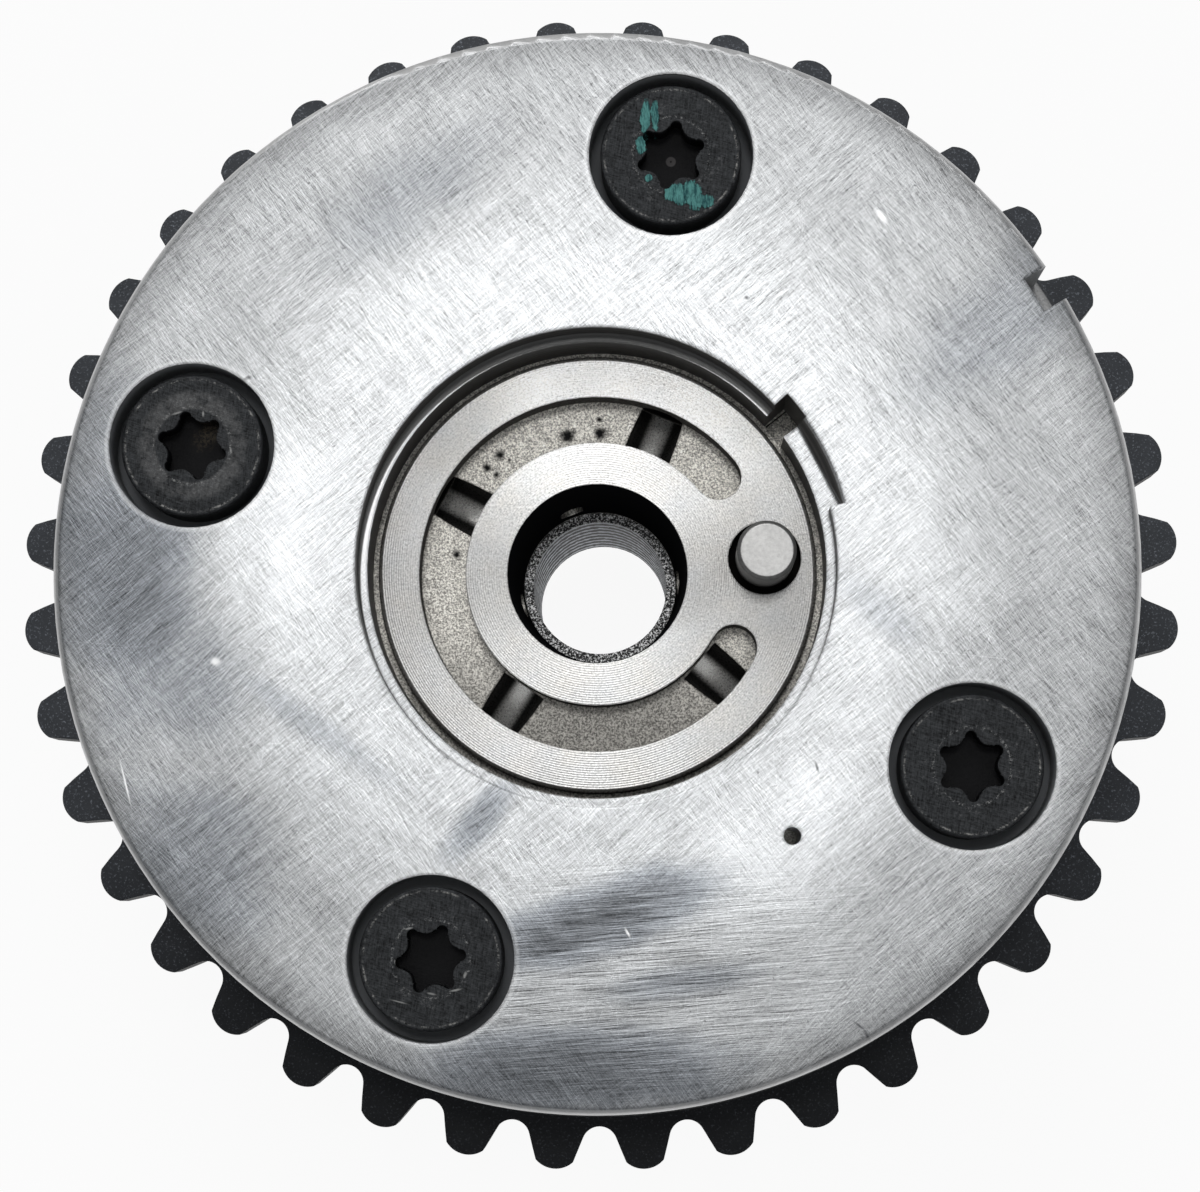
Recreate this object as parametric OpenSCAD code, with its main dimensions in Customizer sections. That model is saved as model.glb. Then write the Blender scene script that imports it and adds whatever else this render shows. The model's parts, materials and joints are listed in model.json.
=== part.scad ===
// Cam phaser: a vane-type timing sprocket, lying on its front plate with its camshaft side up.
// The axis of rotation is Z, and the origin is the centre of the resting face.

/* [Chain teeth] */
// Pitch of the inverted-tooth timing chain
chain_pitch = 8; // [7.8:0.05:8.6]
// Number of teeth
tooth_count = 40; // [40:1:44]
// Height of a tooth from root to tip
tooth_depth = 3.85; // [3.4:0.05:4.2]
// Width of the tooth ring along the axis
tooth_width = 5.6; // [4:0.1:8]
// Angle between a tooth's flank and its centre line
flank_angle = 18; // [15:0.5:21]
// Radius of the round root between two teeth
root_fillet_r = 1.55; // [1.3:0.05:1.7]
// Radius of the domed tooth tip
tip_dome_r = 2.25; // [2.1:0.05:2.6]
// Radial length of the bevel on both faces of a tip
tip_bevel_l = 1.8; // [1:0.1:2.4]
// Axial depth of that bevel
tip_bevel_h = 0.7; // [0.3:0.1:1.2]

/* [Housing] */
// Height of the housing between the two plates
housing_h = 23.5; // [21:0.5:27]
// Step from the tooth root in to the housing's outside
housing_step = 1.3; // [1:0.1:2]
// Wall between the oil chambers and the outside
housing_wall = 5.5; // [4.5:0.1:6]
// Distance from the housing's top face down to the tooth ring
tooth_inset = 8.35; // [7:0.05:10]
// Half the angle that one shoe takes
shoe_half_angle = 11; // [10.5:0.1:11.5]
// Direction of the first shoe and its screw
shoe_angle_1 = 79.7; // [78:0.1:81]
// Direction of the second shoe and its screw
shoe_angle_2 = 163.3; // [162:0.1:165]
// Direction of the third shoe and its screw
shoe_angle_3 = 247.3; // [246:0.1:249]
// Direction of the fourth shoe and its screw
shoe_angle_4 = 331.7; // [330:0.1:333]
// Chamfer on the housing's edges
housing_chamfer = 0.5; // [0.2:0.1:1]

/* [Front plate] */
// Thickness of the plate it rests on
front_plate_t = 8; // [7:0.5:10]
// Chamfer on the plate's outer edge
plate_chamfer = 0.8; // [0.3:0.1:1.2]
// Diameter of the rotor's front journal
journal_d = 30; // [27:0.5:32]
// Radial running clearance of the journal
journal_clearance = 0.04; // [0.02:0.01:0.08]

/* [Camshaft side cover] */
// Thickness of the bright cover
cover_t = 9; // [8:0.5:11]
// How far the cover's edge lies inside the housing's edge
cover_inset = 0.65; // [0.4:0.05:1]
// Rounding of the cover's outer edge
cover_edge_r = 0.7; // [0.3:0.1:1.2]
// Diameter of the opening at the cover's face
opening_d = 40.2; // [39.8:0.1:41]
// Diameter of the camshaft bore below the ledge
cam_bore_d = 38.6; // [38.2:0.1:39.2]
// Depth of the ledge below the cover's face
ledge_depth = 3; // [2:0.1:4]
// Radius that the relief pocket reaches at the face
relief_r = 21.4; // [20.9:0.1:22.5]
// Distance of the relief floor's straight side from the axis
relief_flat = 20.6; // [20.4:0.1:20.8]
// Width of the timing notch in the cover's edge
notch_w = 3.2; // [2:0.1:5]
// Radial depth of the timing notch
notch_depth = 2.25; // [1.5:0.05:3]
// Diameter of the small air bleed through the cover
bleed_d = 1.45; // [1:0.05:2]

/* [Cover screws] */
// Thread diameter
screw_d = 6; // [5:0.1:6.3]
// Diameter of the head
head_d = 11.9; // [11:0.1:12.6]
// Height of the head
head_h = 4.4; // [3.6:0.1:5]
// Diameter of the pocket for the head
pocket_d = 13.85; // [13:0.05:14.2]
// Distance of the screws inside the chamber's wall
screw_inset = 5.2; // [4.8:0.1:5.6]
// Size of the six-lobed socket from point to point
socket_d = 5.9; // [5:0.05:6.4]
// Depth of the socket
socket_depth = 2.6; // [2:0.1:3]

/* [Rotor] */
// Angle that the rotor turns clockwise from its parked stop
phase_travel = 25; // [20:0.5:27]
// Diameter of the rotor's hub between the vanes
rotor_hub_d = 50; // [48:0.5:51]
// Diameter of the boss that the camshaft seats on
boss_d = 37.4; // [36.8:0.1:37.6]
// Depth of the camshaft seat below the cover's face
seat_depth = 6.9; // [5.5:0.1:8]
// Diameter of the tapered oil bore at the seat
oil_bore_d = 15.35; // [14:0.05:16.5]
// Diameter of the oil bore at its ledge
oil_bore_end_d = 13.45; // [13:0.05:13.9]
// Depth of the oil bore
oil_bore_depth = 12.75; // [10:0.05:15]
// Diameter of the through hole for the centre bolt
bolt_hole_d = 11.8; // [10.5:0.1:12.5]
// Outer diameter of the curved oil groove
groove_outer_d = 30.4; // [29.8:0.1:31]
// Inner diameter of the curved oil groove
groove_inner_d = 22.5; // [21.5:0.1:23]
// Depth of the curved oil groove
groove_depth = 3; // [2:0.1:3.4]
// Diameter of the slanted oil channels
channel_d = 4.1; // [3.4:0.1:4.2]
// Radius of the dowel pin's centre
dowel_r = 14.3; // [13.9:0.1:14.6]
// Diameter of the dowel pin
dowel_d = 5; // [4:0.1:5.4]
// Length of the dowel pin that stands out of the seat
dowel_stand = 6.4; // [4:0.1:6.8]

/* [Seals] */
// Width of a seal bar
seal_w = 2; // [1.6:0.1:2.6]
// Radial height of a seal bar
seal_h = 2.9; // [2.4:0.1:3.4]
// Thickness of the leaf spring behind a seal
leaf_t = 0.25; // [0.15:0.05:0.35]
// Room behind a seal for its leaf spring
leaf_room = 0.65; // [0.5:0.05:1]

/* [Lock pin] */
// Diameter of the lock pin's nose
lock_nose_d = 8; // [7:0.1:8.4]
// Diameter of the lock pin's guided end
lock_head_d = 10; // [9.4:0.1:11]
// How far the pin can draw back
lock_travel = 3.5; // [2.5:0.1:4]
// Wire diameter of the lock pin's spring
lock_wire_d = 0.9; // [0.6:0.05:1.1]

/* [Hidden] */
$fn = 96;

// A little more than a cut needs, so that it breaks the surface
over = 1;

// Heights
housing_z = front_plate_t;
cover_z = housing_z + housing_h;
face_z = cover_z + cover_t;
seat_z = face_z - seat_depth;
tooth_top_z = cover_z - tooth_inset;
ledge_z = face_z - ledge_depth;

// Radii of the tooth ring and of what follows from it
gap_angle = 180 / tooth_count;
tip_r = chain_pitch * (1 / tan(gap_angle) + 0.08) / 2;
root_r = tip_r - tooth_depth;
housing_r = root_r - housing_step;
chamber_r = housing_r - housing_wall;
cover_r = housing_r - cover_inset;
screw_r = chamber_r - screw_inset;

// Sliding clearances inside the chambers
tip_clearance = 0.3;
seal_clearance = 0.05;
side_clearance = 0.05;
slot_clearance = 0.05;
press_clearance = 0.01;
rotor_r = rotor_hub_d / 2;
vane_r = chamber_r - tip_clearance;
shoe_tip_r = rotor_r + tip_clearance;
slot_w = seal_w + 2 * slot_clearance;
vane_slot_r = chamber_r - seal_clearance - seal_h - leaf_room;
shoe_slot_r = rotor_r + seal_clearance + seal_h + leaf_room;

// Shoes, and the vane that parks on the clockwise side of each
shoe_angles = [shoe_angle_1, shoe_angle_2, shoe_angle_3, shoe_angle_4];
stop_gap = 0.6;
vane_gap = 1.2;
function chamber_angle(i) = (i == 0 ? shoe_angles[0] + 360 - shoe_angles[3] : shoe_angles[i] - shoe_angles[i - 1])
    - 2 * shoe_half_angle;
function rest_gap(i) = i == 0 ? stop_gap : vane_gap;
function vane_start(i) = shoe_angles[i] - shoe_half_angle - rest_gap(i);
function vane_angle(i) = chamber_angle(i) - phase_travel - 2 * rest_gap(i);
function vane_mid(i) = vane_start(i) - vane_angle(i) / 2;

// Leaf springs lie this much inside the ends and the width of their seals
leaf_margin = 3;
leaf_side_gap = 0.3;

// Rotor levels
rotor_bottom_z = housing_z + side_clearance;
rotor_top_z = cover_z - side_clearance;
journal_z = 0.6;
journal_r = journal_d / 2;
bore_ledge_z = seat_z - oil_bore_depth;
bore_taper = (oil_bore_d - oil_bore_end_d) / oil_bore_depth;
edge_chamfer = 0.3;

// Curved oil groove and its slanted channels
groove_mid_r = (groove_outer_d + groove_inner_d) / 4;
groove_half_w = (groove_outer_d - groove_inner_d) / 4;
groove_floor_z = seat_z - groove_depth;
groove_from = 30;
groove_to = 340;
groove_end_angle = asin(groove_half_w / groove_mid_r);
groove_end_gap = 0.03;
groove_end_r = groove_half_w - groove_end_gap;
channel_lag = 11.5;
channel_slope = 14;
channel_inset = 0.08;
return_drill_d = 2.6;
return_drill_lag = 6;

// Lock pin in the wide vane
lock_angle = vane_mid(0);
lock_r = (rotor_r + vane_r) / 2;
lock_clearance = 0.04;
lock_ledge_h = 4;
lock_step_z = rotor_bottom_z + lock_ledge_h;
lock_nose_z = rotor_bottom_z + side_clearance;
lock_shoulder_h = 3.2;
lock_shoulder_z = lock_step_z + lock_shoulder_h;
vent_depth = 1;
vent_w = 2.4;
cap_t = 1.8;
cap_z = rotor_top_z - vent_depth - cap_t;
cap_hole_d = 2.2;
lock_end_gap = 0.35;
lock_top_z = cap_z - lock_travel - lock_end_gap;
lock_cup_d = 6.4;
lock_cup_floor = 3.4;
lock_cup_z = lock_nose_z + lock_cup_floor;
spring_turns = 8;
spring_clearance = 0.25;
feed_d = 2;
bush_d = 12;
bush_depth = 4.5;
bush_clearance = 0.15;
bush_hole_d = lock_nose_d + 2 * bush_clearance;

// Dowel pin and locating pin
dowel_angle = 5.2;
dowel_depth = 5.6;
dowel_shoulder = 0.3;
dowel_shank_r = dowel_d / 2 - dowel_shoulder;
dowel_mouth_gap = 0.6;
dowel_mouth_r = dowel_d / 2 + dowel_mouth_gap;
dowel_mouth_depth = 2.4;
locating_d = 4;
locating_l = 8;
locating_out = 7;
locating_r = screw_r + locating_out;

// Cover details
relief_from = 14;
relief_to = 35.3;
relief_tilt = 27.6;
relief_toe = 0.3;
slot_to = 42;
slot_out = 0.12;
notch_angle = 31.7;
bleed_r = 27.7;
bleed_angle = -54.2;
head_sink = 0.2;
pocket_depth = head_h + head_sink;
head_seat_z = face_z - pocket_depth;
screw_end_z = 1;
screw_hole_clearance = 0.2;
head_edge_r = 0.2;
thread_clearance = 0.01;

// Flat sector from angle a0 to a1 that reaches past radius r
module wedge(a0, a1, r) {
    steps = 8;
    polygon(concat([[0, 0]], [for (k = [0:steps]) let (a = a0 + (a1 - a0) * k / steps) 2 * r * [cos(a), sin(a)]]));
}

// Round bar along Z from z0 to z1
module bar(r, z0, z1) {
    translate([0, 0, z0]) cylinder(r = r, h = z1 - z0);
}

// Children at radius r and direction a
module at(r, a) {
    rotate(a) translate([r, 0, 0]) children();
}

// Gap between two teeth: a round root that opens along straight flanks
module tooth_gap() {
    opening = flank_angle + gap_angle;
    centre_r = root_r + root_fillet_r;
    x0 = centre_r - root_fillet_r * sin(opening);
    y0 = root_fillet_r * cos(opening);
    x1 = tip_r + over;
    y1 = y0 + (x1 - x0) * tan(opening);
    translate([centre_r, 0]) circle(r = root_fillet_r);
    polygon([[x0, -y0], [x1, -y1], [x1, y1], [x0, y0]]);
}

module tooth_outline() {
    dome_r = tip_r - tip_dome_r;
    intersection() {
        difference() {
            circle(r = tip_r + over / 2);
            for (k = [0:tooth_count - 1]) rotate(2 * gap_angle * k) tooth_gap();
        }
        union() {
            circle(r = dome_r + tip_dome_r / 3);
            for (k = [0:tooth_count - 1]) at(dome_r, gap_angle * (2 * k + 1)) circle(r = tip_dome_r);
        }
    }
}

// Turned envelope of the tooth ring, bevelled towards the tips on both faces
module tooth_envelope() {
    bevel_r = tip_r - tip_bevel_l;
    rotate_extrude() polygon([
        [chamber_r + over, 0], [bevel_r, 0], [tip_r + over, tip_bevel_h * (1 + over / tip_bevel_l)],
        [tip_r + over, tooth_width - tip_bevel_h * (1 + over / tip_bevel_l)],
        [bevel_r, tooth_width], [chamber_r + over, tooth_width]]);
}

module chamber_outline() {
    circle(r = shoe_tip_r);
    difference() {
        circle(r = chamber_r);
        for (a = shoe_angles) wedge(a - shoe_half_angle, a + shoe_half_angle, chamber_r);
    }
    for (a = shoe_angles) rotate(a) translate([rotor_r, -slot_w / 2]) square([shoe_slot_r - rotor_r, slot_w]);
}

module sprocket_housing() {
    color("#2b2e33") difference() {
        union() {
            rotate_extrude() polygon([
                [0, housing_z], [housing_r - housing_chamfer, housing_z], [housing_r, housing_z + housing_chamfer],
                [housing_r, cover_z - housing_chamfer], [housing_r - housing_chamfer, cover_z], [0, cover_z]]);
            translate([0, 0, tooth_top_z - tooth_width]) intersection() {
                linear_extrude(tooth_width) tooth_outline();
                tooth_envelope();
            }
        }
        translate([0, 0, housing_z - over]) linear_extrude(housing_h + 2 * over) chamber_outline();
        for (a = shoe_angles)
            at(screw_r, a) bar(screw_d / 2 + screw_hole_clearance, housing_z - over, cover_z + over);
        at(locating_r, shoe_angle_4)
            bar(locating_d / 2 + press_clearance, housing_z - over, housing_z + locating_l / 2);
    }
}

// Flat-bottomed pocket with a sloping wall, and the open slot at its end
module relief_pocket() {
    toe_r = relief_flat - relief_toe;
    slope = (relief_r - toe_r) / ledge_depth;
    translate([0, 0, ledge_z]) linear_extrude(ledge_depth + over) intersection() {
        wedge(relief_from, relief_to, relief_r);
        rotate(relief_tilt) translate([0, -relief_r]) square([relief_flat, 2 * relief_r]);
    }
    translate([0, 0, ledge_z]) intersection() {
        linear_extrude(ledge_depth + over) wedge(relief_from, relief_to, relief_r);
        cylinder(r1 = toe_r, r2 = relief_r + slope * over, h = ledge_depth + over);
    }
    translate([0, 0, cover_z - over]) linear_extrude(cover_t + 2 * over) intersection() {
        wedge(relief_to, slot_to, relief_r);
        circle(r = relief_r + slot_out);
    }
}

module cam_side_cover() {
    color("#b9bcc0") difference() {
        rotate_extrude() union() {
            translate([0, cover_z]) square([cover_r, cover_t - cover_edge_r]);
            translate([0, cover_z]) square([cover_r - cover_edge_r, cover_t]);
            translate([cover_r - cover_edge_r, face_z - cover_edge_r]) circle(r = cover_edge_r);
        }
        bar(cam_bore_d / 2, cover_z - over, face_z + over);
        bar(opening_d / 2, ledge_z, face_z + over);
        relief_pocket();
        for (a = shoe_angles) {
            at(screw_r, a) bar(pocket_d / 2, head_seat_z, face_z + over);
            at(screw_r, a) bar(screw_d / 2 + screw_hole_clearance, cover_z - over, head_seat_z + over);
        }
        rotate(notch_angle) translate([cover_r - notch_depth, -notch_w / 2, cover_z - over])
            cube([notch_depth + over, notch_w, cover_t + 2 * over]);
        at(bleed_r, bleed_angle) bar(bleed_d / 2, cover_z - over, face_z + over);
    }
}

module front_plate() {
    color("#8d9196") difference() {
        rotate_extrude() polygon([
            [0, 0], [cover_r - plate_chamfer, 0], [cover_r, plate_chamfer],
            [cover_r, front_plate_t], [0, front_plate_t]]);
        bar(journal_r + journal_clearance, -over, front_plate_t + over);
        for (a = shoe_angles)
            at(screw_r, a) bar(screw_d / 2 + thread_clearance, -over, front_plate_t + over);
        at(lock_r, lock_angle) bar(bush_d / 2 + press_clearance, front_plate_t - bush_depth, front_plate_t + over);
        at(locating_r, shoe_angle_4)
            bar(locating_d / 2 + press_clearance, front_plate_t - locating_l / 2, front_plate_t + over);
    }
}

// Six-lobed socket: round points joined by round hollows
module socket_outline() {
    lobe_r = socket_d * 0.085;
    hollow_r = socket_d * 0.17;
    hollow_depth_r = socket_d * 0.36;
    lobe_turn = 60;
    difference() {
        circle(r = socket_d / 2 - lobe_r);
        for (k = [0:5]) at(hollow_depth_r + hollow_r, lobe_turn * (k + 0.5)) circle(r = hollow_r);
    }
    for (k = [0:5]) at(socket_d / 2 - lobe_r, lobe_turn * k) circle(r = lobe_r);
}

module cover_screw() {
    head_top_z = head_seat_z + head_h;
    difference() {
        union() {
            bar(screw_d / 2, screw_end_z, head_seat_z + over / 2);
            rotate_extrude() union() {
                translate([0, head_seat_z]) square([head_d / 2, head_h - head_edge_r]);
                translate([0, head_seat_z]) square([head_d / 2 - head_edge_r, head_h]);
                translate([head_d / 2 - head_edge_r, head_top_z - head_edge_r]) circle(r = head_edge_r);
            }
        }
        translate([0, 0, head_top_z - socket_depth]) linear_extrude(socket_depth + over) socket_outline();
    }
}

module cover_screws() {
    color("#1d1e20") for (a = shoe_angles) at(screw_r, a) cover_screw();
}

module vane_outline(i) {
    intersection() {
        circle(r = vane_r);
        wedge(vane_start(i) - vane_angle(i), vane_start(i), vane_r);
    }
}

module rotor_outline() {
    difference() {
        union() {
            circle(r = rotor_r);
            for (i = [0:3]) vane_outline(i);
        }
        for (i = [0:3]) rotate(vane_mid(i) + seal_shift(i)) translate([vane_slot_r, -slot_w / 2]) square([seal_h * 3, slot_w]);
    }
}

// The wide vane's seal stands beside its lock pin
function seal_shift(i) = i == 0 ? 15 : 0;

module groove_outline() {
    difference() {
        circle(d = groove_outer_d);
        circle(d = groove_inner_d);
        wedge(groove_to - groove_end_angle - 360, groove_from + groove_end_angle, groove_outer_d);
    }
    for (a = [groove_from + groove_end_angle, groove_to - groove_end_angle])
        at(groove_mid_r, a) circle(r = groove_end_r);
}

// Slanted channel across the groove's floor and down to the root of a vane
module oil_channel(i) {
    start_r = groove_inner_d / 2 + channel_inset;
    reach = rotor_r + channel_d / 2 - start_r;
    at(start_r, shoe_angles[i] - channel_lag) translate([0, 0, groove_floor_z])
        rotate([0, 90 + channel_slope, 0]) cylinder(d = channel_d, h = reach / cos(channel_slope));
}

// Radial drilling from the oil bore to the other side of a vane
module return_drill(i) {
    rotate(vane_start(i) - vane_angle(i) - return_drill_lag)
        translate([0, 0, bore_ledge_z + return_drill_d]) rotate([0, 90, 0])
            cylinder(d = return_drill_d, h = rotor_r + over);
}

module lock_pin_bore() {
    at(lock_r, lock_angle) {
        bar(lock_nose_d / 2 + lock_clearance, rotor_bottom_z - over, lock_step_z + over);
        bar(lock_head_d / 2 + lock_clearance, lock_step_z, rotor_top_z + over);
    }
    rotate(lock_angle) translate([cam_bore_d / 2, -vent_w / 2, rotor_top_z - vent_depth])
        cube([lock_r - cam_bore_d / 2, vent_w, vent_depth + over]);
    at(lock_r, lock_angle) translate([0, 0, lock_step_z + feed_d]) rotate([-90, 0, 0])
        cylinder(d = feed_d, h = lock_r);
}

module rotor() {
    boss_r = boss_d / 2;
    color("#8c8a86") difference() {
        union() {
            translate([0, 0, rotor_bottom_z]) linear_extrude(rotor_top_z - rotor_bottom_z) rotor_outline();
            rotate_extrude() polygon([
                [0, journal_z], [journal_r - edge_chamfer, journal_z], [journal_r, journal_z + edge_chamfer],
                [journal_r, rotor_bottom_z + over], [boss_r, rotor_bottom_z + over],
                [boss_r, seat_z - edge_chamfer], [boss_r - edge_chamfer, seat_z], [0, seat_z]]);
        }
        bar(bolt_hole_d / 2, journal_z - over, seat_z + over);
        translate([0, 0, bore_ledge_z])
            cylinder(d1 = oil_bore_end_d, d2 = oil_bore_d + bore_taper * over, h = oil_bore_depth + over);
        translate([0, 0, groove_floor_z]) linear_extrude(groove_depth + over) groove_outline();
        for (i = [0:3]) {
            oil_channel(i);
            return_drill(i);
        }
        at(dowel_r, dowel_angle) {
            bar(dowel_shank_r + press_clearance, seat_z - dowel_depth, seat_z + over);
            bar(dowel_mouth_r, seat_z - dowel_mouth_depth, seat_z + over);
        }
        lock_pin_bore();
    }
}

module dowel_pin() {
    dowel_top_z = seat_z + dowel_stand;
    r = dowel_d / 2;
    color("#a9a8a4") at(dowel_r, dowel_angle) rotate_extrude() polygon([
        [0, seat_z - dowel_depth], [dowel_shank_r, seat_z - dowel_depth], [dowel_shank_r, seat_z], [r, seat_z],
        [r, dowel_top_z - edge_chamfer], [r - edge_chamfer, dowel_top_z], [0, dowel_top_z]]);
}

module lock_pin() {
    color("#9a9da1") at(lock_r, lock_angle) difference() {
        rotate_extrude() polygon([
            [0, lock_nose_z], [lock_nose_d / 2 - edge_chamfer, lock_nose_z],
            [lock_nose_d / 2, lock_nose_z + edge_chamfer], [lock_nose_d / 2, lock_shoulder_z],
            [lock_head_d / 2, lock_shoulder_z], [lock_head_d / 2, lock_top_z], [0, lock_top_z]]);
        bar(lock_cup_d / 2, lock_cup_z, lock_top_z + over);
    }
}

// Point k of the ring of a wire's section at turn t of a coil from z0 to z1
function coil_point(t, k, sides, r, wire_r, z0, z1, turns) =
    let (a = 360 * turns * t, s = 360 * k / sides)
    [(r + wire_r * cos(s)) * cos(a), (r + wire_r * cos(s)) * sin(a), z0 + (z1 - z0) * t + wire_r * sin(s)];

module lock_pin_spring() {
    sides = 8;
    rings = 18 * spring_turns;
    wire_r = lock_wire_d / 2;
    coil_r = lock_cup_d / 2 - wire_r - spring_clearance;
    z0 = lock_cup_z + wire_r;
    z1 = cap_z - wire_r;
    points = [for (n = [0:rings], k = [0:sides - 1])
        coil_point(n / rings, k, sides, coil_r, wire_r, z0, z1, spring_turns)];
    walls = [for (n = [0:rings - 1], k = [0:sides - 1]) let (m = (k + 1) % sides)
        [n * sides + k, (n + 1) * sides + k, (n + 1) * sides + m, n * sides + m]];
    first = [for (k = [0:sides - 1]) k];
    last = [for (k = [sides - 1:-1:0]) rings * sides + k];
    color("#77797c") at(lock_r, lock_angle) polyhedron(points, concat([first], walls, [last]));
}

module lock_pin_cap() {
    color("#6f7276") at(lock_r, lock_angle) difference() {
        bar(lock_head_d / 2 + lock_clearance - press_clearance, cap_z, cap_z + cap_t);
        bar(cap_hole_d / 2, cap_z - over, cap_z + cap_t + over);
    }
}

module lock_bush() {
    color("#85888c") at(lock_r, lock_angle) difference() {
        bar(bush_d / 2, front_plate_t - bush_depth, front_plate_t);
        bar(bush_hole_d / 2, front_plate_t - bush_depth - over, front_plate_t + over);
    }
}

module locating_pin() {
    color("#a9a8a4") at(locating_r, shoe_angle_4)
        bar(locating_d / 2, housing_z - locating_l / 2, housing_z + locating_l / 2);
}

module vane_seal(i) {
    outer_r = chamber_r - seal_clearance;
    color("#3a3330") rotate(vane_mid(i) + seal_shift(i))
        translate([0, 0, rotor_bottom_z]) linear_extrude(rotor_top_z - rotor_bottom_z) intersection() {
            circle(r = outer_r);
            translate([outer_r - seal_h, -seal_w / 2]) square([seal_h + over, seal_w]);
        }
}

module shoe_seal(i) {
    inner_r = rotor_r + seal_clearance;
    color("#3a3330") rotate(shoe_angles[i])
        translate([0, 0, rotor_bottom_z]) linear_extrude(rotor_top_z - rotor_bottom_z) difference() {
            translate([inner_r - over, -seal_w / 2]) square([seal_h + over, seal_w]);
            circle(r = inner_r);
        }
}

// Bowed leaf along Z: its ends touch radius end_r, and its middle lies towards mid_r
module leaf_spring(end_r, mid_r) {
    rise = abs(mid_r - end_r) - leaf_t;
    length = rotor_top_z - rotor_bottom_z - leaf_margin;
    bow_r = (length * length / 4 + rise * rise) / (2 * rise);
    side = mid_r > end_r ? 1 : -1;
    width = seal_w - leaf_side_gap;
    translate([mid_r - side * (bow_r + leaf_t), width / 2, (rotor_top_z + rotor_bottom_z) / 2])
        rotate([90, 0, 0]) linear_extrude(width) intersection() {
            difference() {
                circle(r = bow_r + leaf_t);
                circle(r = bow_r);
            }
            translate([side > 0 ? 0 : -2 * bow_r, -length / 2]) square([2 * bow_r, length]);
        }
}

module vane_seal_spring(i) {
    color("#b0b2b4") rotate(vane_mid(i) + seal_shift(i))
        leaf_spring(chamber_r - seal_clearance - seal_h - press_clearance, vane_slot_r + press_clearance);
}

module shoe_seal_spring(i) {
    color("#b0b2b4") rotate(shoe_angles[i])
        leaf_spring(rotor_r + seal_clearance + seal_h + press_clearance, shoe_slot_r - press_clearance);
}

sprocket_housing();
cam_side_cover();
front_plate();
cover_screws();
rotor();
dowel_pin();
lock_pin();
lock_pin_spring();
lock_pin_cap();
lock_bush();
locating_pin();
for (i = [0:3]) {
    vane_seal(i);
    vane_seal_spring(i);
    shoe_seal(i);
    shoe_seal_spring(i);
}
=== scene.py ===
"""Looks of the cam phaser: camera, light, floor and a procedural finish for every node."""

import json
import math

import bpy
from mathutils import Matrix, Vector

MM = 0.001

# Heights and radii of the part in millimetres, as its source gives them
FACE_Z = 40.5
COVER_Z = 31.5
SEAT_Z = 33.6
GROOVE_Z = 30.6
DRILL_TOP_Z = 24.75
BORE_LEDGE_Z = 20.85
HEAD_TOP_Z = 40.3
COVER_R = 45.34
OPENING_R = 20.1
POCKET_R = 6.925
GROOVE_IN_R = 10.6
GROOVE_OUT_R = 15.2
DOWEL = (14.241, 1.296)
SCREWS = [(6.31, 34.72), (-33.80, 10.14), (-13.62, -32.56), (31.07, -16.73)]
PAINTED_SCREW = SCREWS[0]
WORN_SCREW = SCREWS[1]
NICKED_SCREW = SCREWS[2]

# Patches of painted dark reflection and shade on the cover's face: x, y, half length, half width, turn,
# strength
PAINTED_DARK_PATCHES = [
    (0.5, -29.2, 12.5, 3.6, 0.31, 0.7),
    (-3.5, -30.6, 6.0, 3.0, 0.3, 0.45),
    (7.0, -34.5, 9.0, 1.8, 0.15, 0.35),
    (-2.0, -41.8, 17.0, 4.4, 0.0, 0.66),
    (-39.5, 0.0, 7.5, 17.0, 0.1, 0.5),
    (-34.0, -10.0, 7.0, 8.0, 0.5, 0.3),
    (-33.0, -24.0, 8.0, 11.0, 0.8, 0.34),
    (-9.5, -21.0, 5.5, 2.0, 0.9, 0.45),
    (-24.0, -13.0, 12.0, 1.8, -0.6, 0.25),
    (-16.0, 31.0, 12.0, 5.0, 0.6, 0.24),
    (36.0, 22.0, 6.0, 16.0, -0.9, 0.26),
    (24.0, -4.0, 7.0, 2.4, -0.7, 0.2),
]

# Dark dents and bright chips on the cover's face: x, y, half length, half width, turn
KNOCKS = [
    (18.26, -16.79, 0.14, 0.6, 0.3),
    (22.4, -39.1, 0.16, 1.3, 0.5),
    (21.6, -38.0, 0.14, 0.7, 0.9),
    (-29.2, 15.8, 0.5, 0.2, 0.4),
    (12.6, 22.5, 0.25, 0.2, 0.0),
]
CHIPS = [
    (23.9, 29.4, 0.3, 0.9, 0.7),
    (-31.6, -8.0, 0.5, 0.4, 0.0),
    (-39.0, -18.0, 0.1, 2.2, 0.25),
    (2.6, -30.4, 0.12, 0.5, 0.5),
]

# Marks on the screw heads, from the screw's axis: x, y, half length, half width, turn
WORN_SCREW_NICKS = [
    (-1.3, 2.75, 0.5, 0.1, 0.3),
    (0.9, 2.7, 0.12, 0.3, 0.0),
    (3.25, -0.4, 0.1, 0.3, 0.2),
]
NICKED_SCREW_NICKS = [
    (-1.8, 2.5, 0.4, 0.1, 0.2),
    (2.1, -2.55, 0.6, 0.1, 0.2),
    (2.85, -1.3, 0.15, 0.35, -0.4),
    (0.1, -2.85, 0.4, 0.1, -0.2),
    (-2.9, -0.3, 0.1, 0.25, 0.3),
    (-2.6, -3.5, 0.8, 0.07, -0.25),
]
DIRT_LUMP = (0.9, 1.2, 1.6, 1.1, 0.9)
PAINT_DABS = [
    (-2.15, 3.3, 0.55, 1.7, -0.05),
    (-1.35, 3.4, 0.45, 1.6, 0.05),
    (-2.5, 1.0, 0.6, 1.0, 0.0),
    (-1.9, -2.0, 0.45, 0.45, 0.0),
    (0.5, -3.3, 1.4, 1.1, -0.3),
    (1.9, -3.5, 1.0, 1.6, 0.3),
    (2.9, -4.0, 0.9, 0.7, 0.2),
]

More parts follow.
